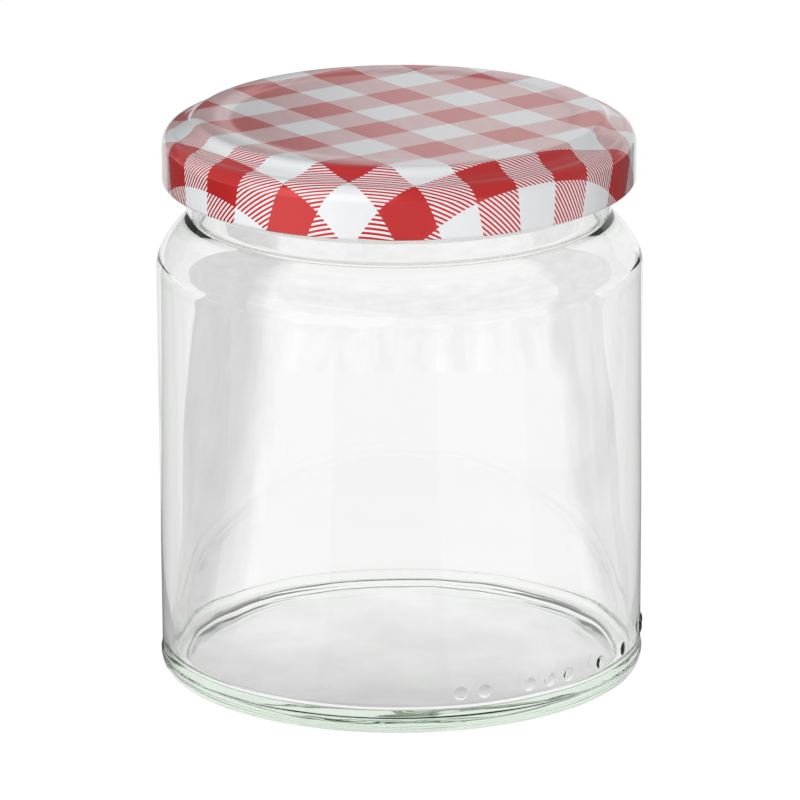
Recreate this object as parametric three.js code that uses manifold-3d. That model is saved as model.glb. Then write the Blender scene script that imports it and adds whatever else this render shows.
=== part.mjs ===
// A glass canning jar with its twist-off metal lid, in millimetres.
// The jar stands on z = 0 and both pieces are round about the Z axis.

import * as THREE from "three";
import { mergeVertices } from "three/addons/utils/BufferGeometryUtils.js";
import Module from "manifold-3d";

// Heights
const BODY_TOP = 74.4;
const CREASE_Z = 83.9;
const NECK_TOP = 88.4;
const RIM_Z = 98.4;
const LID_BOTTOM = 90.05;
const LID_PANEL_Z = 101.7;

// Outside radii of the glass
const BODY_TOP_RADIUS = 43.48;
const BODY_FOOT_RADIUS = 43.22;
const CREASE_RADIUS = 37.2;
const NECK_RADIUS = 38;
const NECK_STEP = 1.2;
const LAND_RADIUS = 39.3;
const RIM_ROUND = 1.5;
const THREAD_RADIUS = 40.45;

// Pulls that shape the glass shoulder, outside and then inside
const SHOULDER_PULL_Z = 78.5;
const CREASE_PULL = [39.2, 82.3];
const INNER_TOP_RISE = 1.8;
const INNER_TOP_PULL = 3;
const INNER_FOOT_PULL = 5.4;
const INNER_FOOT_DROP = 2;

// Heel and base of the glass
const HEEL_RADIUS = 43.45;
const HEEL_HEIGHT = 3.2;
const HEEL_INSET = 2.2;
const SEAM_HEIGHT = 0.25;
const STAND_WIDTH = 2.2;
const PUSH_UP = 1.7;
const PUSH_UP_EDGE = 0.5;
const PUSH_UP_FLAT = 0.6;

// Inside of the glass
const WALL_RADIUS = 41.15;
const BORE_RADIUS = 35.5;
const CORNER_ROUND = 1.7;
const FLOOR_EDGE_Z = 3.9;
const FLOOR_MID_Z = 4.9;

// Lid: thin sheet steel, round about the same axis
const SHEET = 0.25;
const SKIRT_RADIUS = 42.25;
const SHOULDER_WIDTH = 2.3;
const SHOULDER_HEIGHT = 2.9;
const LEDGE_RADIUS = 38.8;
const LEDGE_Z = 100.1;
const LEDGE_DROP = 0.5;
const BEAD_RADIUS = 35.4;
const BEAD_RISE = 0.25;
const BEAD_WIDTH = 1.9;
const BEAD_DEPTH = 1.2;
const PANEL_RADIUS = 29.5;
const CURL_ROUND = 0.75;
const SEAL_INNER = 36.2;
const SEAL_OUTER = 40.6;
const SEAL_THICKNESS = 0.6;
const SEAL_FILLET = 0.35;

// Threads, lugs and mould dots
const THREAD_COUNT = 6;
const THREAD_SWEEP = 48;
const THREAD_CLIMB = 1.6;
const THREAD_TOP_Z = 95.4;
const THREAD_HEIGHT = 1.5;
const THREAD_END_RELIEF = 0.02;
const LUG_SWEEP = 12;
const LUG_INNER = 39.8;
const LUG_HEIGHT = 1.1;
const LUG_LIFT = 0.35;
const LUG_TAPER = 0.2;
const DOT_STEP = 5.87;
const DOT_START = 13.9;
const DOT_SLOTS = [0, 1, 3, 4, 5, 7, 9, 12, 13];
const DOT_Z = 7.4;
const DOT_SIZE = 1.1;
const DOT_RELIEF = 0.4;
const DOT_FLATNESS = 0.5;

const ROUND_STEPS = 64;
const EMBED = 0.15;

const wasm = await Module();
wasm.setup();

const point = (r, z) => new THREE.Vector2(r, z);

// Points of an arc about (r, z); angles in degrees, 0 is outward and 90 is up.
function arc(r, z, width, height, from, to, steps) {
  const points = [];
  for (let i = 0; i <= steps; i++) {
    const angle = THREE.MathUtils.degToRad(from + ((to - from) * i) / steps);
    points.push(point(r + width * Math.cos(angle), z + height * Math.sin(angle)));
  }
  return points;
}

// Points of a smooth bend from one point to another, pulled towards two controls.
function bend(start, startPull, endPull, end, steps) {
  return new THREE.CubicBezierCurve(start, startPull, endPull, end).getPoints(steps);
}

// A solid of revolution with shared vertices, from a profile of radius and height.
function revolve(profile) {
  const geometry = new THREE.LatheGeometry(profile, ROUND_STEPS);
  geometry.deleteAttribute("normal");
  geometry.deleteAttribute("uv");
  geometry.rotateX(Math.PI / 2);
  return mergeVertices(geometry, 1e-4);
}

function toSolid(geometry) {
  return new wasm.Manifold(
    new wasm.Mesh({
      numProp: 3,
      vertProperties: new Float32Array(geometry.attributes.position.array),
      triVerts: new Uint32Array(geometry.index.array),
    }),
  );
}

function toGeometry(solid) {
  const mesh = solid.getMesh();
  const geometry = new THREE.BufferGeometry();
  geometry.setAttribute("position", new THREE.BufferAttribute(mesh.vertProperties, 3));
  geometry.setIndex(new THREE.BufferAttribute(mesh.triVerts, 1));
  geometry.computeVertexNormals();
  return geometry;
}

// A rib of one cross-section carried part of the way round the Z axis.
// section(t) gives its corners, as radius and height, at t from 0 to 1 along it.
function roundRib(section, startAngle, sweep, steps) {
  const positions = [];
  const index = [];
  const corners = section(0).length;
  for (let i = 0; i <= steps; i++) {
    const angle = THREE.MathUtils.degToRad(startAngle + (sweep * i) / steps);
    for (const corner of section(i / steps)) {
      positions.push(corner.x * Math.cos(angle), corner.x * Math.sin(angle), corner.y);
    }
  }
  for (let i = 0; i < steps; i++) {
    for (let j = 0; j < corners; j++) {
      const a = i * corners + j;
      const b = i * corners + ((j + 1) % corners);
      index.push(a, a + corners, b, b, a + corners, b + corners);
    }
  }
  const last = steps * corners;
  for (let j = 1; j < corners - 1; j++) {
    index.push(0, j, j + 1);
    index.push(last, last + j + 1, last + j);
  }
  const geometry = new THREE.BufferGeometry();
  geometry.setAttribute("position", new THREE.Float32BufferAttribute(positions, 3));
  geometry.setIndex(index);
  return geometry;
}

function glassProfile() {
  const standOuter = HEEL_RADIUS - HEEL_INSET;
  const standInner = standOuter - STAND_WIDTH;
  const hollowEdge = standInner - PUSH_UP_EDGE;
  const cornerRadius = WALL_RADIUS - CORNER_ROUND;
  return [
    point(0, PUSH_UP),
    point(hollowEdge * PUSH_UP_FLAT, PUSH_UP * 0.85),
    point(hollowEdge, PUSH_UP_EDGE),
    point(standInner, 0),
    ...arc(standOuter, HEEL_HEIGHT, HEEL_INSET, HEEL_HEIGHT, -90, 0, 5),
    point(BODY_FOOT_RADIUS, HEEL_HEIGHT + SEAM_HEIGHT),
    ...bend(
      point(BODY_TOP_RADIUS, BODY_TOP),
      point(BODY_TOP_RADIUS, SHOULDER_PULL_Z),
      point(...CREASE_PULL),
      point(CREASE_RADIUS, CREASE_Z),
      8,
    ),
    point(CREASE_RADIUS + 0.2, CREASE_Z + 0.45),
    point(NECK_RADIUS, CREASE_Z + 1),
    point(NECK_RADIUS, NECK_TOP),
    point(LAND_RADIUS, NECK_TOP + NECK_STEP),
    ...arc(LAND_RADIUS - RIM_ROUND, RIM_Z - RIM_ROUND, RIM_ROUND, RIM_ROUND, 0, 90, 3),
    ...arc(BORE_RADIUS + RIM_ROUND, RIM_Z - RIM_ROUND, RIM_ROUND, RIM_ROUND, 90, 180, 3),
    ...bend(
      point(BORE_RADIUS, CREASE_Z + INNER_TOP_RISE),
      point(BORE_RADIUS, CREASE_Z - INNER_TOP_PULL),
      point(WALL_RADIUS, BODY_TOP + INNER_FOOT_PULL),
      point(WALL_RADIUS, BODY_TOP - INNER_FOOT_DROP),
      8,
    ),
    ...arc(cornerRadius, FLOOR_EDGE_Z + CORNER_ROUND, CORNER_ROUND, CORNER_ROUND, 0, -90, 3),
    point(0, FLOOR_MID_Z),
  ];
}

// Right-handed thread ribs, which climb as they go round and run out at both ends.
function threadRib(startAngle) {
  const section = (t) => {
    const runOut = Math.min(1, 5 * Math.min(t, 1 - t));
    const root = LAND_RADIUS - EMBED;
    const crest = THREE.MathUtils.lerp(LAND_RADIUS + THREAD_END_RELIEF, THREAD_RADIUS, runOut);
    const top = THREAD_TOP_Z - THREAD_CLIMB * (1 - t);
    return [
      point(root, top - THREAD_HEIGHT),
      point(crest, top - THREAD_HEIGHT * 0.7),
      point(crest, top - THREAD_HEIGHT * 0.3),
      point(root, top),
    ];
  };
  return roundRib(section, startAngle, THREAD_SWEEP, 10);
}

// Small domed bumps round the heel, spaced as a row of slots with gaps.
function mouldDot(slot) {
  const angle = THREE.MathUtils.degToRad(DOT_START + DOT_STEP * slot - 90);
  const rise = (DOT_Z - HEEL_HEIGHT) / (BODY_TOP - HEEL_HEIGHT);
  const wall = THREE.MathUtils.lerp(BODY_FOOT_RADIUS, BODY_TOP_RADIUS, rise);
  const geometry = new THREE.SphereGeometry(DOT_SIZE, 10, 6);
  geometry.deleteAttribute("normal");
  geometry.deleteAttribute("uv");
  geometry.scale(DOT_FLATNESS, 1, 1);
  geometry.rotateZ(angle);
  const reach = wall + DOT_RELIEF - DOT_SIZE * DOT_FLATNESS;
  geometry.translate(reach * Math.cos(angle), reach * Math.sin(angle), DOT_Z);
  return mergeVertices(geometry, 1e-4);
}

function glassJar() {
  let solid = toSolid(revolve(glassProfile()));
  for (let i = 0; i < THREAD_COUNT; i++) {
    solid = solid.add(toSolid(threadRib((360 / THREAD_COUNT) * i)));
  }
  for (const slot of DOT_SLOTS) {
    solid = solid.add(toSolid(mouldDot(slot)));
  }
  return toGeometry(solid);
}

function lidProfile() {
  const crest = LID_PANEL_Z + BEAD_RISE;
  const ledgeEndZ = LEDGE_Z - LEDGE_DROP;
  const shoulderRadius = SKIRT_RADIUS - SHOULDER_WIDTH;
  const shoulderZ = ledgeEndZ - SHOULDER_HEIGHT;
  const curlRadius = SKIRT_RADIUS - CURL_ROUND;
  const curlZ = LID_BOTTOM + CURL_ROUND;
  const curlInside = CURL_ROUND - SHEET;
  const sealZ = ledgeEndZ - SHEET - SEAL_THICKNESS;
  return [
    point(0, LID_PANEL_Z - SHEET),
    point(PANEL_RADIUS, LID_PANEL_Z - SHEET),
    point(BEAD_RADIUS, crest - SHEET),
    point(SEAL_INNER, crest - SHEET - SEAL_FILLET),
    point(SEAL_INNER + SEAL_FILLET, sealZ + SEAL_FILLET),
    point(SEAL_INNER + 3 * SEAL_FILLET, sealZ),
    point(SEAL_OUTER, sealZ),
    ...arc(shoulderRadius, shoulderZ, SHOULDER_WIDTH - SHEET, SHOULDER_HEIGHT - SHEET, 50, 0, 3),
    ...arc(curlRadius, curlZ, curlInside, curlInside, 0, -225, 7),
    ...arc(curlRadius, curlZ, CURL_ROUND, CURL_ROUND, -225, 0, 7),
    ...arc(shoulderRadius, shoulderZ, SHOULDER_WIDTH, SHOULDER_HEIGHT, 0, 90, 6),
    point(LEDGE_RADIUS, LEDGE_Z),
    ...arc(BEAD_RADIUS, crest - BEAD_DEPTH, BEAD_WIDTH, BEAD_DEPTH, 20, 90, 4),
    point(PANEL_RADIUS, LID_PANEL_Z),
    point(0, LID_PANEL_Z),
  ];
}

// Inward tabs at the curl, which catch under the threads when the lid is turned.
function lidLug(startAngle) {
  const base = LID_BOTTOM + LUG_LIFT;
  const root = SKIRT_RADIUS - SHEET - CURL_ROUND;
  const section = () => [
    point(LUG_INNER, base + LUG_TAPER),
    point(root, base),
    point(root, base + LUG_HEIGHT),
    point(LUG_INNER, base + LUG_HEIGHT - LUG_TAPER),
  ];
  return roundRib(section, startAngle, LUG_SWEEP, 3);
}

function twistLid() {
  let solid = toSolid(revolve(lidProfile()));
  for (let i = 0; i < THREAD_COUNT; i++) {
    const lugStart = (360 / THREAD_COUNT) * i + LUG_SWEEP;
    solid = solid.add(toSolid(lidLug(lugStart)));
  }
  return toGeometry(solid);
}

function namedMesh(name, geometry, look) {
  const mesh = new THREE.Mesh(geometry, new THREE.MeshStandardMaterial(look));
  mesh.name = name;
  return mesh;
}

const canningJar = new THREE.Group();
canningJar.add(
  namedMesh("jar", glassJar(), {
    color: 0xdfe8e2,
    roughness: 0.05,
    metalness: 0,
    transparent: true,
    opacity: 0.35,
  }),
  namedMesh("lid", twistLid(), { color: 0xc8323c, roughness: 0.3, metalness: 0.2 }),
);

export default canningJar;
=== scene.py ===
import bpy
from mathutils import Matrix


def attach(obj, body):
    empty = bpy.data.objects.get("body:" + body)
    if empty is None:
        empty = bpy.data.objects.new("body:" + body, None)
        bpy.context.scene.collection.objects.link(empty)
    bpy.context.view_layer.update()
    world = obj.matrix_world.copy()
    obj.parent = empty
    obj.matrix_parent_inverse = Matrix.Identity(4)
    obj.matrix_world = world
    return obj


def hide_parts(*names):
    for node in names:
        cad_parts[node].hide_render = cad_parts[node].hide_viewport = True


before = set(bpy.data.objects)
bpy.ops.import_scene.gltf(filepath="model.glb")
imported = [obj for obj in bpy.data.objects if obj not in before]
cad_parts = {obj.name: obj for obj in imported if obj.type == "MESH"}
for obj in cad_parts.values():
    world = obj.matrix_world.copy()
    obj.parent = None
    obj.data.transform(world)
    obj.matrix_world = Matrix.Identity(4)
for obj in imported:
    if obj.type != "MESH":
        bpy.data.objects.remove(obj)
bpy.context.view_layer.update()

import math

import bmesh
import bpy
from mathutils import Matrix, Vector, noise

mm = 0.001

# sizes of the glass in millimetres, as in the part's source
glass = {
    "bodyTop": 74.4, "creaseZ": 83.9, "neckTop": 88.4, "rimZ": 98.4,
    "bodyTopRadius": 43.48, "bodyFootRadius": 43.22, "creaseRadius": 37.2,
    "shoulderPullZ": 78.5, "creasePull": (39.2, 82.3), "creaseRound": 0.45,
    "neckRadius": 38.0, "neckStep": 1.2, "neckRound": 0.35, "stepRound": 0.5,
    "landRadius": 39.3, "rimRound": 1.5,
    "heelRadius": 43.45, "heelHeight": 3.2, "heelInset": 2.2, "seamHeight": 0.25,
    "standWidth": 2.2, "standRound": (0.5, 0.35), "pushUp": 1.7, "pushUpEdge": 0.5,
    "wallRadius": 41.15, "boreRadius": 35.5, "boreFoot": 1.8, "borePull": 3.0,
    "innerTop": 75.6, "innerPull": (0.3, 2.2),
    "floorEdgeZ": 3.9, "floorMidZ": 4.9, "floorFlatRadius": 33.0, "floorPull": (27.0, 4.1),
    "cornerWidth": 1.6, "cornerHeight": 1.7,
    "threadCount": 6, "threadSweep": 48.0, "threadClimb": 1.6, "threadTop": 95.4,
    "threadHeight": 1.5, "threadRelief": 1.15,
    "dotStart": 13.9, "dotStep": 5.87, "dotSlots": (0, 1, 3, 4, 5, 7, 9, 12, 13),
    "dotZ": 7.4, "dotSize": 1.18, "dotRelief": 0.4, "dotMargin": 0.2, "dotCuts": 5,
    "dotsFrom": 10.0, "dotsTo": 94.0,                         # degrees right of the front
    "innerWave": 0.07, "floorWave": 0.14, "outerWave": 0.01,  # how far the walls wander
    "wrinkle": 0.04, "wrinkleTop": 20.0, "roughBack": 2.0,    # chill wrinkles low on the inside
    "steps": 330,
}


def arcPoints(r, z, width, height, start, end, steps):
    angles = [math.radians(start + (end - start) * i / steps) for i in range(steps + 1)]
    return [(r + width * math.cos(a), z + height * math.sin(a)) for a in angles]


def bendPoints(start, startPull, endPull, end, steps):
    points = []
    for i in range(steps + 1):
        t = i / steps
        s = 1 - t
        weights = (s ** 3, 3 * s * s * t, 3 * s * t * t, t ** 3)
        corners = (start, startPull, endPull, end)
        points.append(tuple(sum(w * c[k] for w, c in zip(weights, corners)) for k in (0, 1)))
    return points


def linePoints(start, end, step):
    count = max(1, round(math.dist(start, end) / step))
    return [
        (start[0] + (end[0] - start[0]) * i / count, start[1] + (end[1] - start[1]) * i / count)
        for i in range(count + 1)
    ]


def spinStrip(mesh, points, steps, finish=0):
    # turns a profile of (radius, height) points once round the axis
    verts = [mesh.verts.new((0.0, -r * mm, z * mm)) for r, z in points]
    edges = [mesh.edges.new(pair) for pair in zip(verts, verts[1:])]
    known = set(mesh.faces)
    bmesh.ops.spin(
        mesh, geom=verts + edges, cent=(0, 0, 0), axis=(0, 0, 1), dvec=(0, 0, 0),
        angle=math.tau, steps=steps, use_merge=True, use_duplicate=False,
    )
    for face in mesh.faces:
        if face not in known:
            face.material_index = finish


def closeUp(mesh):
    bmesh.ops.remove_doubles(mesh, verts=mesh.verts, dist=0.00001)
    bmesh.ops.dissolve_degenerate(mesh, edges=mesh.edges, dist=0.000001)
    bmesh.ops.recalc_face_normals(mesh, faces=mesh.faces)


def addPiece(mesh, name, materials, sharpAngle):
    data = bpy.data.meshes.new(name)
    mesh.to_mesh(data)
    mesh.free()
    data.shade_smooth()
    data.set_sharp_from_angle(angle=math.radians(sharpAngle))
    for material in materials:
        data.materials.append(material)
    piece = bpy.data.objects.new(name, data)
    bpy.context.scene.collection.objects.link(piece)
    return piece


def joinParts(parts):
    points = []
    for part in parts:
        for p in part:
            if not points or math.dist(points[-1], p) > 0.02:
                points.append(p)
    return points


def outsideParts():
    # from the middle of the base up to the rim
    g = glass
    standOuter = g["heelRadius"] - g["heelInset"]
    standInner = standOuter - g["standWidth"]
    hollowEdge = standInner - g["pushUpEdge"]
    foot = (g["bodyFootRadius"], g["heelHeight"] + g["seamHeight"])
    top = (g["bodyTopRadius"], g["bodyTop"])

    def wallAt(z):
        t = (z - g["heelHeight"]) / (g["bodyTop"] - g["heelHeight"])
        return (g["bodyFootRadius"] + (g["bodyTopRadius"] - g["bodyFootRadius"]) * t, z)

    dotLow = g["dotZ"] - g["dotSize"] - g["dotMargin"]
    dotHigh = g["dotZ"] + g["dotSize"] + g["dotMargin"]
    crease, creaseZ, soft = g["creaseRadius"], g["creaseZ"], g["creaseRound"]
    neck, neckRound, stepRound = g["neckRadius"], g["neckRound"], g["stepRound"]
    land, rim = g["landRadius"], g["rimRound"]
    landFoot = g["neckTop"] + g["neckStep"]
    landTop = g["rimZ"] - rim
    return [
        bendPoints((0, g["pushUp"]), (hollowEdge * 0.5, g["pushUp"]),
                   (hollowEdge - 3, g["pushUp"] * 0.75), (hollowEdge, g["pushUpEdge"]), 14),
        arcPoints(standInner, g["standRound"][1], *g["standRound"], 180, 270, 4),
        arcPoints(standOuter, g["heelHeight"], g["heelInset"], g["heelHeight"], -90, -4, 14),
        [(g["heelRadius"], g["heelHeight"] - 0.05), (g["heelRadius"] - 0.06, g["heelHeight"] + 0.08)],
        [foot, (foot[0], foot[1] + 0.25)],
        linePoints(wallAt(4.2), wallAt(dotLow), 0.8),
        linePoints(wallAt(dotLow), wallAt(dotHigh), 0.45),
        linePoints(wallAt(dotHigh), top, 4),
        bendPoints(top, (top[0], g["shoulderPullZ"]), g["creasePull"], (crease, creaseZ), 26),
        arcPoints(crease + soft, creaseZ + 0.42, soft, 0.42, 215, 120, 5),
        arcPoints(neck - neckRound, creaseZ + 1 + neckRound, neckRound, neckRound, -60, 0, 3),
        [(neck, g["neckTop"] - 0.2)],
        arcPoints(neck + stepRound, g["neckTop"] - 0.1, stepRound, stepRound, 180, 135, 3),
        arcPoints(land - stepRound, landFoot - 0.1, stepRound, stepRound, -45, 0, 3),
        linePoints((land, landFoot + 0.1), (land, landTop), 0.28),
        arcPoints(land - rim, landTop, rim, rim, 0, 90, 8),
    ]


def insideParts():
    # from the rim down to the middle of the floor
    g = glass
    bore, wall, rim = g["boreRadius"], g["wallRadius"], g["rimRound"]
    landTop = g["rimZ"] - rim
    boreFoot = g["creaseZ"] + g["boreFoot"]
    corner = (g["cornerWidth"], g["cornerHeight"])
    cornerTop = g["floorEdgeZ"] + corner[1]
    flat = (g["floorFlatRadius"], g["floorEdgeZ"])
    return [
        arcPoints(bore + rim, landTop, rim, rim, 90, 180, 8),
        linePoints((bore, landTop), (bore, boreFoot), 2.2),
        bendPoints((bore, boreFoot), (bore, g["creaseZ"] - g["borePull"]),
                   (wall - g["innerPull"][0], g["innerTop"] + g["innerPull"][1]),
                   (wall, g["innerTop"]), 30),
        linePoints((wall, g["innerTop"]), (wall, g["wrinkleTop"]), 3.5),
        linePoints((wall, g["wrinkleTop"]), (wall, cornerTop), 1.1),
        arcPoints(wall - corner[0], cornerTop, *corner, 0, -90, 14),
        linePoints((wall - corner[0], g["floorEdgeZ"]), flat, 0.8),
        bendPoints(flat, g["floorPull"], (12, g["floorMidZ"]), (0, g["floorMidZ"]), 12),
    ]


def threadRise(angle, z):
    # right-handed ribs that climb as they go round and run out at both ends
    g = glass
    pitch = 360 / g["threadCount"]
    t = (angle % pitch) / g["threadSweep"]
    if t > 1:
        return 0.0
    runOut = min(1.0, 5 * min(t, 1 - t))
    middle = g["threadTop"] - g["threadClimb"] * (1 - t) - g["threadHeight"] / 2
    off = abs(z - middle) / (g["threadHeight"] / 2 + 0.15)
    if off > 1:
        return 0.0
    return g["threadRelief"] * math.sin(runOut * math.pi / 2) ** 2 * min(1.0, 1.5 * (1 - off * off))


def dotRise(angle, z, radius):
    g = glass
    right = (angle + 90 + 180) % 360 - 180
    for slot in g["dotSlots"]:
        across = math.radians(right - g["dotStart"] - g["dotStep"] * slot) * radius
        off = math.hypot(across, z - g["dotZ"]) / g["dotSize"]
        if off < 1:
            return g["dotRelief"] * (1 - off * off) ** 0.5
    return 0.0


def refineDots(mesh):
    # a finer mesh where the mould dots stand
    g = glass
    edges = set()
    for face in mesh.faces:
        middle = face.calc_center_median()
        right = math.degrees(math.atan2(middle.x, -middle.y))
        level = abs(middle.z / mm - g["dotZ"]) < g["dotSize"] + g["dotMargin"]
        outside = middle.xy.length / mm > g["wallRadius"] + 1
        if g["dotsFrom"] < right < g["dotsTo"] and level and outside:
            edges.update(face.edges)
    bmesh.ops.subdivide_edges(mesh, edges=list(edges), cuts=g["dotCuts"], use_grid_fill=True)


def makeGlassJar(materials):
    g = glass
    mesh = bmesh.new()
    spinStrip(mesh, joinParts(outsideParts() + insideParts()), g["steps"])
    closeUp(mesh)
    refineDots(mesh)
    for vert in mesh.verts:
        x, y, z = (c / mm for c in vert.co)
        radius = math.hypot(x, y)
        if radius < 1:
            continue
        angle = math.degrees(math.atan2(y, x))
        if g["floorEdgeZ"] - 0.1 < z < g["floorEdgeZ"] + 2.5 and radius < g["wallRadius"] + 0.2:
            place = Vector((x / 15, y / 15, 3))
            vert.co.z += mm * g["floorWave"] * (noise.noise(place) + 0.4 * noise.noise(place * 2.3))
        inside = radius < g["wallRadius"] + 0.5 and z > g["floorEdgeZ"] - 0.5 and (
            z < g["bodyTop"] or radius < g["creaseRadius"] - 0.8)
        rise = 0.0
        if inside:
            fade = min(1.0, max(0.0, (g["neckTop"] - z) / 6)) * min(1.0, radius / 30)
            place = Vector((x / 13, y / 13, z / 34))
            rise = g["innerWave"] * fade * (noise.noise(place) + 0.25 * noise.noise(place * 2.7))
            low = max(0.0, 1 - z / g["wrinkleTop"])
            low *= 1 + g["roughBack"] * min(1.0, max(0.0, y / 30 + 0.3))
            rise += g["wrinkle"] * low * noise.noise(Vector((x / 4.5, y / 4.5, z / 5)))
        elif z > 89 and radius > g["landRadius"] - 0.1:
            rise = threadRise(angle, z)
        elif g["heelHeight"] + 0.4 < z < g["bodyTop"]:
            place = Vector((x / 17, y / 17, z / 45 + 9))
            rise = dotRise(angle, z, radius)
            rise += g["outerWave"] * noise.noise(place)
        vert.co.x *= (radius + rise) / radius
        vert.co.y *= (radius + rise) / radius
    return addPiece(mesh, "glassJar", materials, 40)


def nodesOf(material):
    material.use_nodes = True
    tree = material.node_tree
    shader = tree.nodes["Principled BSDF"]
    return tree, shader


def addNode(tree, kind, inputs=(), **settings):
    node = tree.nodes.new(kind)
    for key, value in settings.items():
        setattr(node, key, value)
    for slot, value in inputs:
        if isinstance(value, bpy.types.NodeSocket):
            tree.links.new(value, node.inputs[slot])
        else:
            node.inputs[slot].default_value = value
    return node


def mathNode(tree, operation, first, second=0.0):
    return addNode(tree, "ShaderNodeMath", ((0, first), (1, second)), operation=operation).outputs[0]


def mixColour(tree, factor, first, second, blend="MIX"):
    node = addNode(tree, "ShaderNodeMix", data_type="RGBA", blend_type=blend)
    for slot, value in ((0, factor), (6, first), (7, second)):
        if isinstance(value, bpy.types.NodeSocket):
            tree.links.new(value, node.inputs[slot])
        else:
            node.inputs[slot].default_value = value
    return node.outputs[2]


clearGlass = {
    "tint": (0.70, 0.86, 0.69, 1), "tintDensity": 9.5, "ior": 1.52,
    "waveScale": 90.0, "waveDepth": 0.00002, "waveStrength": 0.25,
    "smudgeScale": 55.0, "smudgeRough": 0.035,
}


def makeClearGlass():
    settings = clearGlass
    material = bpy.data.materials.new("clearGlass")
    tree, shader = nodesOf(material)
    shader.inputs["Base Color"].default_value = (1, 1, 1, 1)
    shader.inputs["Transmission Weight"].default_value = 1
    shader.inputs["IOR"].default_value = settings["ior"]
    place = addNode(tree, "ShaderNodeTexCoord").outputs["Object"]
    waves = addNode(tree, "ShaderNodeTexNoise", (
        ("Vector", place), ("Scale", settings["waveScale"]), ("Detail", 2.0), ("Roughness", 0.5)))
    bump = addNode(tree, "ShaderNodeBump", (
        ("Height", waves.outputs["Fac"]), ("Strength", settings["waveStrength"]),
        ("Distance", settings["waveDepth"])))
    tree.links.new(bump.outputs["Normal"], shader.inputs["Normal"])
    smudges = addNode(tree, "ShaderNodeTexNoise", (
        ("Vector", place), ("Scale", settings["smudgeScale"]), ("Detail", 4.0), ("Roughness", 0.6)))
    polish = addNode(tree, "ShaderNodeMapRange", (
        ("Value", smudges.outputs["Fac"]), ("From Min", 0.5), ("From Max", 0.85),
        ("To Min", 0.0), ("To Max", settings["smudgeRough"])))
    tree.links.new(polish.outputs["Result"], shader.inputs["Roughness"])
    absorb = addNode(tree, "ShaderNodeVolumeAbsorption", (
        ("Color", settings["tint"]), ("Density", settings["tintDensity"])))
    tree.links.new(absorb.outputs["Volume"], tree.nodes["Material Output"].inputs["Volume"])
    return material


lid = {
    "bottom": 90.05, "panelZ": 101.7, "sheet": 0.25, "skirtRadius": 42.25,
    "shoulderWidth": 2.3, "shoulderHeight": 2.9, "ledgeRadius": 38.8, "ledgeZ": 100.1,
    "ledgeDrop": 0.5, "beadRadius": 35.4, "beadRise": 0.25, "beadWidth": 1.9,
    "beadDepth": 1.2, "panelRadius": 29.5, "curlRound": 0.75, "sealInner": 36.2,
    "sealOuter": 40.6, "sealThickness": 0.6, "sealFillet": 0.35,
    "lugCount": 6, "lugSweep": 12.0, "lugInner": 39.8,
    "segments": 320,
    "dipPulls": ((37.5, 100.8), (38.0, 100.35)), "ledgePulls": ((39.2, 99.95), (39.5, 99.65)),
    # how much wider the flat sheet was than the pressed lid, along the profile
    "drawStart": 26.0, "drawTop": 0.992, "drawShoulder": 1.196, "drawSkirt": 0.903,
    "sheetWidth": 120.0,
}


def lidTopProfile():
    # from the middle of the top to the curl's inner end, along the printed face
    s = lid
    crest = s["panelZ"] + s["beadRise"]
    ledgeEnd = s["ledgeZ"] - s["ledgeDrop"]
    shoulder = (s["skirtRadius"] - s["shoulderWidth"], ledgeEnd - s["shoulderHeight"])
    curl = (s["skirtRadius"] - s["curlRound"], s["bottom"] + s["curlRound"])
    bead = arcPoints(s["beadRadius"], crest - s["beadDepth"], s["beadWidth"], s["beadDepth"], 90, 20, 12)
    ledge = (s["ledgeRadius"], s["ledgeZ"])
    return joinParts([
        linePoints((0, s["panelZ"]), (s["panelRadius"], s["panelZ"]), 2.0),
        bendPoints((s["panelRadius"], s["panelZ"]), (s["panelRadius"] + 1.2, s["panelZ"]),
                   (s["panelRadius"] + 2.5, crest), (s["beadRadius"] - 1, crest), 10),
        bead,
        bendPoints(bead[-1], *s["dipPulls"], ledge, 6),
        bendPoints(ledge, *s["ledgePulls"], (shoulder[0] + 0.1, ledgeEnd - 0.005), 4),
        arcPoints(*shoulder, s["shoulderWidth"], s["shoulderHeight"], 86, 0, 16),
        linePoints((s["skirtRadius"], shoulder[1]), (s["skirtRadius"], curl[1]), 0.9),
        arcPoints(*curl, s["curlRound"], s["curlRound"], 0, -225, 16),
    ])


def flatRadii(points):
    # where each point of the profile was on the flat printed sheet
    s = lid
    flat = [points[0][0]]
    for before, here in zip(points, points[1:]):
        if here[0] <= s["drawStart"] and here[1] > s["bottom"] + 5:
            flat.append(here[0])
            continue
        draw = s["drawTop"]
        if here[1] < s["bottom"] + 6.65:
            draw = s["drawSkirt"]
        elif here[0] > 37:
            draw = s["drawShoulder"]
        middle = (before[0] + here[0]) / 2
        flat.append(math.sqrt(flat[-1] ** 2 + 2 * draw * middle * math.dist(before, here)))
    return flat


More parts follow.
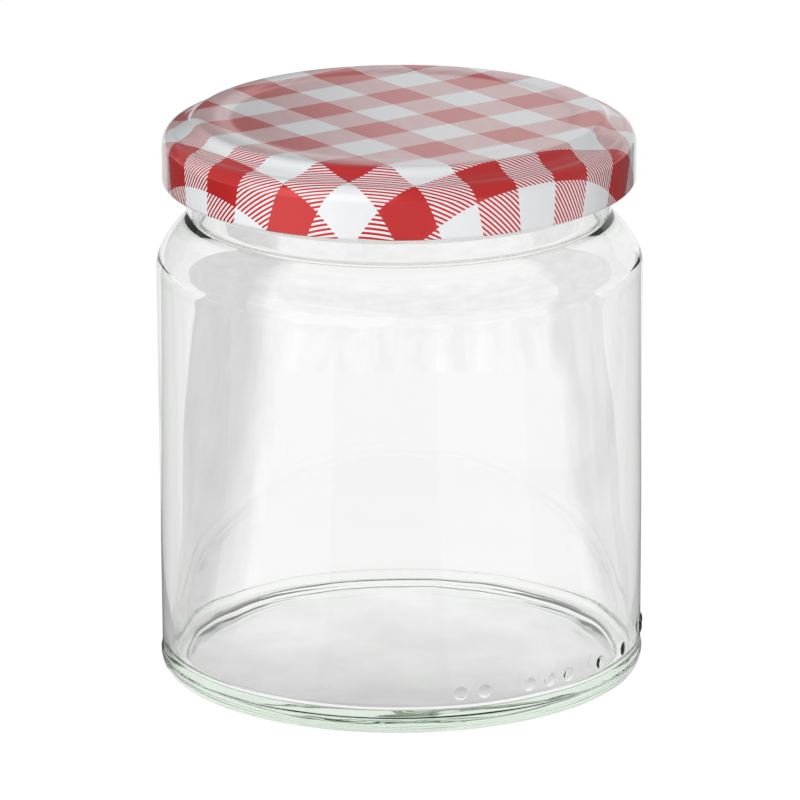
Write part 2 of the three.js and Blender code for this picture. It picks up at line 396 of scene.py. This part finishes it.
def lidInsideProfile():
    s = lid
    crest = s["panelZ"] + s["beadRise"]
    sheet = s["sheet"]
    curl = (s["skirtRadius"] - s["curlRound"], s["bottom"] + s["curlRound"])
    inner = s["curlRound"] - sheet
    shoulder = (s["skirtRadius"] - s["shoulderWidth"], s["ledgeZ"] - s["ledgeDrop"] - s["shoulderHeight"])
    sealZ = s["ledgeZ"] - s["ledgeDrop"] - sheet - s["sealThickness"]
    fillet = s["sealFillet"]
    rolled = arcPoints(*curl, s["curlRound"], s["curlRound"], -225, -225, 1)[:1]
    lining = rolled + arcPoints(*curl, inner, inner, -225, 0, 14)
    lining += linePoints((s["skirtRadius"] - sheet, curl[1]), (s["skirtRadius"] - sheet, shoulder[1]), 1.2)
    lining += arcPoints(*shoulder, s["shoulderWidth"] - sheet, s["shoulderHeight"] - sheet, 6, 50, 6)
    seal = [lining[-1], (s["sealOuter"], sealZ)]
    seal += linePoints((s["sealOuter"] - 0.6, sealZ), (s["sealInner"] + 3 * fillet, sealZ), 0.6)
    seal += arcPoints(s["sealInner"] + 3 * fillet, sealZ + 2 * fillet, 2 * fillet, 2 * fillet, -90, -170, 6)
    sealTop = crest - sheet - fillet
    seal += [(s["sealInner"] + 0.25, sealTop - 0.4), (s["sealInner"], sealTop)]
    panel = [seal[-1], (s["beadRadius"], crest - sheet), (s["beadRadius"] - 1.5, crest - sheet)]
    panel += bendPoints((s["beadRadius"] - 2, crest - sheet), (s["panelRadius"] + 2.5, crest - sheet),
                        (s["panelRadius"] + 1.2, s["panelZ"] - sheet),
                        (s["panelRadius"], s["panelZ"] - sheet), 6)
    panel += linePoints((s["panelRadius"], s["panelZ"] - sheet), (0, s["panelZ"] - sheet), 6)[1:]
    return lining, seal, panel


def pressLug(vert, radius, height):
    # the inner side of the curl is pressed inwards at each lug
    s = lid
    middle = s["skirtRadius"] - s["curlRound"]
    if height > s["bottom"] + 1.5 or radius > middle:
        return
    angle = math.degrees(math.atan2(vert.co.y, vert.co.x))
    along = (angle - s["lugSweep"]) % (360 / s["lugCount"]) / s["lugSweep"]
    if along < 1:
        push = (middle - s["curlRound"] - s["lugInner"]) * math.sqrt(math.sin(math.pi * along))
        push *= min(1.0, (middle - radius) / 0.4)
        vert.co.x *= (radius - push) / radius
        vert.co.y *= (radius - push) / radius


def makeTwistLid(materials):
    s = lid
    mesh = bmesh.new()
    printed = lidTopProfile()
    lining, seal, panel = lidInsideProfile()
    for finish, profile in ((0, printed), (1, lining), (2, seal), (1, panel)):
        spinStrip(mesh, profile, s["segments"], finish)
    closeUp(mesh)
    flat = flatRadii(printed)
    print("flat sheet radius at the lid's foot:", round(flat[-1], 2))
    sheetMap = mesh.loops.layers.uv.new("sheet")
    flatAt = {}
    for vert in mesh.verts:
        radius = math.hypot(vert.co.x, vert.co.y) / mm
        height = vert.co.z / mm
        nearest = min(range(len(printed)),
                      key=lambda i: (printed[i][0] - radius) ** 2 + (printed[i][1] - height) ** 2)
        grow = flat[nearest] / radius if radius > 0.5 else 1
        flatAt[vert] = [0.5 + c / mm * grow / s["sheetWidth"] for c in vert.co.xy]
        pressLug(vert, radius, height)
    for face in mesh.faces:
        for loop in face.loops:
            loop[sheetMap].uv = flatAt[loop.vert]
    return addPiece(mesh, "twistLid", materials, 50)


gingham = {
    "check": 8.53, "turn": 0.6183, "corner": (-19.87, 4.94),
    "hatchPeriod": 1 / 9, "hatchShare": 0.52, "hatchPhase": 0.0,
    "red": (0.60, 0.016, 0.018, 1), "white": (0.80, 0.81, 0.83, 1),
    "redMetal": 0.35, "whiteMetal": 0.05, "roughness": (0.26, 0.36), "coatRoughness": 0.06,
    "blotchScale": 90.0, "peelScale": 160.0, "peelStrength": 0.06, "peelDepth": 0.00003,
}


def makeGingham():
    s = gingham
    material = bpy.data.materials.new("ginghamPrint")
    tree, shader = nodesOf(material)
    place = addNode(tree, "ShaderNodeUVMap", uv_map="sheet").outputs["UV"]
    scale = lid["sheetWidth"] / (2 * s["check"])  # one unit is two checks
    turnBack = Matrix.Rotation(-s["turn"], 3, "Z")
    corner = Vector((0.5 + s["corner"][0] / lid["sheetWidth"], 0.5 + s["corner"][1] / lid["sheetWidth"], 0))
    shift = -(turnBack @ (corner * scale))
    checks = addNode(tree, "ShaderNodeMapping", (
        ("Vector", place), ("Scale", (scale, scale, 1)), ("Rotation", (0, 0, -s["turn"])),
        ("Location", (shift.x, shift.y, 0))))
    split = addNode(tree, "ShaderNodeSeparateXYZ", ((0, checks.outputs[0]),))
    along = split.outputs["X"]
    across = mathNode(tree, "MULTIPLY", split.outputs["Y"], -1.0)
    firstBand = mathNode(tree, "LESS_THAN", mathNode(tree, "FRACT", along), 0.5)
    secondBand = mathNode(tree, "LESS_THAN", mathNode(tree, "FRACT", across), 0.5)
    bands = mathNode(tree, "ADD", firstBand, secondBand)
    diagonal = mathNode(tree, "SUBTRACT", along, across)
    lines = mathNode(tree, "MULTIPLY_ADD", diagonal, 2 / s["hatchPeriod"])
    lines.node.inputs[2].default_value = s["hatchPhase"]
    hatch = mathNode(tree, "LESS_THAN", mathNode(tree, "FRACT", lines), s["hatchShare"])
    weighted = mathNode(tree, "MULTIPLY_ADD", hatch, 0.8)
    tree.links.new(bands, weighted.node.inputs[2])
    ink = mathNode(tree, "GREATER_THAN", weighted, 1.5)
    blotches = addNode(tree, "ShaderNodeTexNoise", (
        ("Vector", place), ("Scale", s["blotchScale"]), ("Detail", 3.0), ("Roughness", 0.6)))
    shade = addNode(tree, "ShaderNodeMapRange", (
        ("Value", blotches.outputs["Fac"]), ("To Min", 0.975), ("To Max", 1.025)))
    colour = mixColour(tree, ink, s["white"], s["red"])
    toned = mixColour(tree, 1.0, colour, shade.outputs["Result"], "MULTIPLY")
    tree.links.new(toned, shader.inputs["Base Color"])
    metal = addNode(tree, "ShaderNodeMapRange", (
        ("Value", ink), ("To Min", s["whiteMetal"]), ("To Max", s["redMetal"])))
    tree.links.new(metal.outputs["Result"], shader.inputs["Metallic"])
    rough = addNode(tree, "ShaderNodeMapRange", (
        ("Value", blotches.outputs["Fac"]),
        ("To Min", s["roughness"][0]), ("To Max", s["roughness"][1])))
    tree.links.new(rough.outputs["Result"], shader.inputs["Roughness"])
    peel = addNode(tree, "ShaderNodeTexNoise", (
        ("Vector", place), ("Scale", s["peelScale"]), ("Detail", 2.0), ("Roughness", 0.5)))
    bump = addNode(tree, "ShaderNodeBump", (
        ("Height", peel.outputs["Fac"]), ("Strength", s["peelStrength"]), ("Distance", s["peelDepth"])))
    tree.links.new(bump.outputs["Normal"], shader.inputs["Coat Normal"])
    shader.inputs["Coat Weight"].default_value = 1.0
    shader.inputs["Coat Roughness"].default_value = s["coatRoughness"]
    shader.inputs["Coat IOR"].default_value = 1.5
    shader.inputs["Specular IOR Level"].default_value = 0.3
    return material


# colour, roughness and coat of the two finishes inside the lid
liningFinishes = {
    "whiteLacquer": ((0.78, 0.77, 0.73, 1), 0.3, 0.5),
    "sealCompound": ((0.70, 0.68, 0.62, 1), 0.55, 0.0),
    "cloudScale": 120.0, "cloudStrength": 0.15, "cloudDepth": 0.00003, "glow": 0.3,
}


def makeLining(name):
    s = liningFinishes
    colour, roughness, coat = s[name]
    material = bpy.data.materials.new(name)
    tree, shader = nodesOf(material)
    place = addNode(tree, "ShaderNodeTexCoord").outputs["Object"]
    cloud = addNode(tree, "ShaderNodeTexNoise", (
        ("Vector", place), ("Scale", s["cloudScale"]), ("Detail", 4.0), ("Roughness", 0.6)))
    shade = addNode(tree, "ShaderNodeMapRange", (
        ("Value", cloud.outputs["Fac"]), ("To Min", 0.92), ("To Max", 1.06)))
    toned = mixColour(tree, 1.0, colour, shade.outputs["Result"], "MULTIPLY")
    tree.links.new(toned, shader.inputs["Base Color"])
    rough = addNode(tree, "ShaderNodeMapRange", (
        ("Value", cloud.outputs["Fac"]), ("To Min", roughness - 0.06), ("To Max", roughness + 0.06)))
    tree.links.new(rough.outputs["Result"], shader.inputs["Roughness"])
    bump = addNode(tree, "ShaderNodeBump", (
        ("Height", cloud.outputs["Fac"]), ("Strength", s["cloudStrength"]), ("Distance", s["cloudDepth"])))
    tree.links.new(bump.outputs["Normal"], shader.inputs["Normal"])
    shader.inputs["Coat Weight"].default_value = coat
    # a faint glow stands in for the light that real glass lets in under the lid
    shader.inputs["Emission Color"].default_value = (1, 1, 1, 1)
    shader.inputs["Emission Strength"].default_value = s["glow"]
    return material


view = {
    "lookAt": (-0.00005, 0, 0.04894), "distance": 1.4795, "pitch": 0.289,
    "roll": -0.005, "lens": 370.7, "sensor": 36.0,
}


studio = {
    "floorSeen": 1.0, "floorNear": 0.93, "floorRadius": 6.0, "world": 0.38, "dome": 0.95,
    # the backdrop that the gloss sees: darker to the left, painted shade in the reflections, in metres
    "backdrop": (0.15, 0.72), "backdropFade": (-0.09, 0.02),
    "backdropAway": 2.2, "backdropWidth": 4.4, "backdropHeight": 0.9,
    # grey strips on the floor that only the gloss and the glass see, painted darker reflections:
    # start and end in degrees left of the camera, then brightness
    "strips": (
        (-16.0, 29.0, 0.5), (66.0, 81.0, 0.6), (81.0, 147.0, 0.05), (147.0, 178.0, 0.75),
        (-96.0, -56.0, 0.6), (-105.0, -96.0, 0.4), (-154.0, -105.0, 0.1), (-178.0, -154.0, 0.85),
    ),
    "clearRing": 0.044, "stripReach": 2.0,
    # grey sheets behind the jar that only the glass lets through, painted shade seen through the glass:
    # picture columns of the dark side, of where the fade starts and ends, then brightness
    "sheets": ((60.0, 185.0, 250.0, 0.63), (740.0, 625.0, 585.0, 0.76)),
    "sheetEdge": -0.022, "sheetNear": 0.015, "sheetMiddle": 0.12, "sheetFar": 0.5,
    "streaks": 0.17, "streakScale": (170.0, 16.0, 1.0),
    # the far floor that only the glass sees is greyer: painted shade on the neck and shoulder
    "farStart": 0.19, "farEnd": 0.30, "farGrey": 0.87,
    # the mottled shade under the base is lighter to the back and darker to the left:
    # place and brightness near and far, then from where to where it is darker, and by how much
    "underRadius": 0.0392, "underNear": (-0.024, 0.50), "underFar": (0.033, 0.86),
    "underLeft": (-0.038, -0.024, 0.80), "mottle": 0.3, "mottleScale": 55.0,
}


def glowPaint(name, brightness):
    paint = bpy.data.materials.new(name)
    shader = nodesOf(paint)[1]
    shader.inputs["Base Color"].default_value = (0.03, 0.03, 0.03, 1)
    shader.inputs["Specular IOR Level"].default_value = 0.0
    shader.inputs["Emission Color"].default_value = (1, 1, 1, 1)
    shader.inputs["Emission Strength"].default_value = brightness
    return paint


def addStagePiece(mesh, name, brightness, seenBy):
    # seenBy: letters for camera, diffuse, glossy and transmission rays
    piece = addPiece(mesh, name, [glowPaint(name + "Paint", brightness)], 40)
    piece.visible_camera = "c" in seenBy
    piece.visible_diffuse = "d" in seenBy
    piece.visible_glossy = "g" in seenBy
    piece.visible_transmission = "t" in seenBy
    piece.visible_shadow = False
    return piece


def floorPatch(name, corners, brightness, seenBy, height=-0.0001):
    mesh = bmesh.new()
    mesh.faces.new([mesh.verts.new((x, y, height)) for x, y in corners])
    mesh.faces.ensure_lookup_table()
    if mesh.faces[0].normal.z < 0:
        bmesh.ops.reverse_faces(mesh, faces=mesh.faces)
    return addStagePiece(mesh, name, brightness, seenBy)


def fadeAcross(piece, axis, start, end, dark, bright, nearEdge=None):
    # the sheet goes from dark to bright between two places across it, with faint streaks
    tree, shader = nodesOf(piece.data.materials[0])
    place = addNode(tree, "ShaderNodeTexCoord").outputs["Object"]
    across = addNode(tree, "ShaderNodeSeparateXYZ", ((0, place),)).outputs[axis]
    fade = addNode(tree, "ShaderNodeMapRange", (
        ("Value", across), ("From Min", start), ("From Max", end), ("To Min", dark), ("To Max", bright)),
        interpolation_type="SMOOTHSTEP")
    stretched = addNode(tree, "ShaderNodeMapping", (("Vector", place), ("Scale", studio["streakScale"])))
    streaks = addNode(tree, "ShaderNodeTexNoise", (
        ("Vector", stretched.outputs[0]), ("Scale", 1.0), ("Detail", 3.0), ("Roughness", 0.6)))
    band = studio["streaks"] / 2
    faint = addNode(tree, "ShaderNodeMapRange", (
        ("Value", streaks.outputs["Fac"]), ("From Min", 0.25), ("From Max", 0.75),
        ("To Min", 1 - band), ("To Max", 1 + band)))
    glow = mathNode(tree, "MULTIPLY", fade.outputs["Result"], faint.outputs["Result"])
    if nearEdge:
        # the near edge blends into the floor too
        away = addNode(tree, "ShaderNodeSeparateXYZ", ((0, place),)).outputs["Y"]
        blend = addNode(tree, "ShaderNodeMapRange", (
            ("Value", away), ("From Min", nearEdge[0]), ("From Max", nearEdge[1]),
            ("To Min", bright), ("To Max", glow)), interpolation_type="SMOOTHSTEP")
        glow = blend.outputs["Result"]
    tree.links.new(glow, shader.inputs["Emission Strength"])


def columnToX(column, y):
    # where a picture column falls on the floor, so far behind the jar
    depth = view["distance"] + y * math.cos(view["pitch"]) + view["lookAt"][2] * math.sin(view["pitch"])
    return (column - 400) / 800 * view["sensor"] / view["lens"] * depth


# a grey floor sheet that only the glass sees: painted shade through the glass
def floorSheet(name, outer, fadeStart, fadeEnd, brightness):
    s = studio
    corners = [(columnToX(column, s[y]), s[y]) for column, y in (
        (outer, "sheetEdge"), (fadeEnd, "sheetEdge"), (fadeEnd, "sheetFar"), (outer, "sheetFar"))]
    sheet = floorPatch(name, corners, brightness, "t")
    fadeAcross(sheet, "X", columnToX(fadeStart, s["sheetMiddle"]), columnToX(fadeEnd, s["sheetMiddle"]),
               brightness, s["floorNear"], (s["sheetEdge"], s["sheetNear"]))


# a grey strip that only the gloss sees: a painted darker reflection
def paintedReflectionStrip(name, start, end, brightness):
    inner, outer = (
        [(r * math.sin(math.radians(-a)), -r * math.cos(math.radians(-a))) for a in (start, end)]
        for r in (studio["clearRing"], studio["stripReach"]))
    floorPatch(name, (inner[0], inner[1], outer[1], outer[0]), brightness, "g")


def makeUnderShade():
    s = studio
    mesh = bmesh.new()
    bmesh.ops.create_circle(mesh, cap_ends=True, radius=s["underRadius"], segments=96,
                            matrix=Matrix.Translation((0, 0, -0.00004)))
    under = addStagePiece(mesh, "underShade", s["underFar"][1], "t")
    tree, shader = nodesOf(under.data.materials[0])
    place = addNode(tree, "ShaderNodeTexCoord").outputs["Object"]
    split = addNode(tree, "ShaderNodeSeparateXYZ", ((0, place),))
    depth = addNode(tree, "ShaderNodeMapRange", (
        ("Value", split.outputs["Y"]), ("From Min", s["underNear"][0]), ("From Max", s["underFar"][0]),
        ("To Min", s["underNear"][1]), ("To Max", s["underFar"][1])))
    side = addNode(tree, "ShaderNodeMapRange", (
        ("Value", split.outputs["X"]), ("From Min", s["underLeft"][0]), ("From Max", s["underLeft"][1]),
        ("To Min", s["underLeft"][2]), ("To Max", 1.0)))
    cloud = addNode(tree, "ShaderNodeTexNoise", (
        ("Vector", place), ("Scale", s["mottleScale"]), ("Detail", 4.0), ("Roughness", 0.55)))
    mottle = addNode(tree, "ShaderNodeMapRange", (
        ("Value", cloud.outputs["Fac"]), ("From Min", 0.3), ("From Max", 0.7),
        ("To Min", 1 - s["mottle"] / 2), ("To Max", 1 + s["mottle"] / 2)))
    glow = mathNode(tree, "MULTIPLY", depth.outputs["Result"], side.outputs["Result"])
    glow = mathNode(tree, "MULTIPLY", glow, mottle.outputs["Result"])
    tree.links.new(glow, shader.inputs["Emission Strength"])


def makeStage():
    s = studio
    for name, brightness, height, seenBy in (
            ("studioFloor", s["floorSeen"], -0.0002, "c"),
            ("floorGlow", s["floorNear"], -0.0003, "dgt")):
        mesh = bmesh.new()
        bmesh.ops.create_circle(mesh, cap_ends=True, radius=s["floorRadius"], segments=96,
                                matrix=Matrix.Translation((0, 0, height)))
        addStagePiece(mesh, name, brightness, seenBy)
    mesh = bmesh.new()
    bmesh.ops.create_icosphere(mesh, subdivisions=3, radius=s["floorRadius"] + 2)
    addStagePiece(mesh, "brightDome", s["dome"], "t")
    mesh = bmesh.new()
    upright = Matrix.Rotation(math.pi / 2, 4, "X")
    place = Matrix.Translation((0, s["backdropAway"], s["backdropHeight"] / 2)) @ upright
    size = Matrix.Diagonal((s["backdropWidth"] / 2, s["backdropHeight"] / 2, 1, 1))
    bmesh.ops.create_grid(mesh, x_segments=1, y_segments=1, size=1, matrix=place @ size)
    # the gloss-only backdrop is darker to the left: painted shade in the lid's reflections
    backdrop = addStagePiece(mesh, "paleBackdrop", s["backdrop"][1], "g")
    fadeAcross(backdrop, "X", *s["backdropFade"], *s["backdrop"])
    for index, strip in enumerate(s["strips"]):
        paintedReflectionStrip(f"floorStrip{index + 1}", *strip)
    for index, sheet in enumerate(s["sheets"]):
        floorSheet(f"greySheet{index + 1}", *sheet)
    makeUnderShade()
    # a greyer far floor that only the glass sees, painted shade on the neck and shoulder
    far = floorPatch("farSheet", ((-2, s["farStart"]), (2, s["farStart"]), (2, 3), (-2, 3)),
                     s["farGrey"], "t", -0.00015)
    fadeAcross(far, "Y", s["farEnd"], s["farStart"], s["farGrey"], s["floorNear"])

    world = bpy.data.worlds.new("studioAir")
    bpy.context.scene.world = world
    world.use_nodes = True
    backing = world.node_tree.nodes["Background"]
    backing.inputs["Color"].default_value = (1, 1, 1, 1)
    backing.inputs["Strength"].default_value = s["world"]


lights = {
    # degrees left of the camera, degrees up, distance, size in metres, brightness, mirrored
    "frontSoftbox": (20.0, 50.0, 1.7, (3.2, 2.2), 1.0, False),
    "leftFill": (40.0, 16.0, 1.8, (2.6, 1.4), 1.0, True),
}


def addLights():
    aim = Vector((0, 0, 0.08))
    for name, (left, up, distance, size, brightness, mirrored) in lights.items():
        around = math.radians(-90 - left)
        level = math.cos(math.radians(up))
        away = Vector((level * math.cos(around), level * math.sin(around), math.sin(math.radians(up))))
        light = bpy.data.lights.new(name, "AREA")
        light.shape = "RECTANGLE"
        light.size, light.size_y = size
        light.energy = math.pi * brightness * size[0] * size[1]
        lamp = bpy.data.objects.new(name, light)
        lamp.location = aim + away * distance
        lamp.rotation_euler = away.to_track_quat("Z", "Y").to_euler()
        lamp.visible_transmission = False
        lamp.visible_glossy = mirrored
        bpy.context.scene.collection.objects.link(lamp)


def addCamera():
    s = view
    data = bpy.data.cameras.new("photoCamera")
    data.lens = s["lens"]
    data.sensor_width = s["sensor"]
    data.clip_end = 20
    camera = bpy.data.objects.new("photoCamera", data)
    forward = Vector((0, math.cos(s["pitch"]), -math.sin(s["pitch"])))
    turn = Matrix.Rotation(math.pi / 2 - s["pitch"], 4, "X") @ Matrix.Rotation(s["roll"], 4, "Z")
    camera.matrix_world = Matrix.Translation(Vector(s["lookAt"]) - forward * s["distance"]) @ turn
    bpy.context.scene.collection.objects.link(camera)
    bpy.context.scene.camera = camera


addCamera()
makeStage()
addLights()
bpy.context.scene.view_settings.view_transform = "Standard"
bpy.context.scene.cycles.max_bounces = 24
bpy.context.scene.cycles.glossy_bounces = 16
bpy.context.scene.cycles.transmission_bounces = 20
print("stage, lights and camera are set")

jarPiece = makeGlassJar([makeClearGlass()])
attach(jarPiece, "root")
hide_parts("jar")
print("glass jar:", sum(len(p.vertices) - 2 for p in jarPiece.data.polygons), "triangles")

lidPiece = makeTwistLid([makeGingham(), makeLining("whiteLacquer"), makeLining("sealCompound")])
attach(lidPiece, "root")
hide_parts("lid")
print("twist lid:", sum(len(p.vertices) - 2 for p in lidPiece.data.polygons), "triangles")
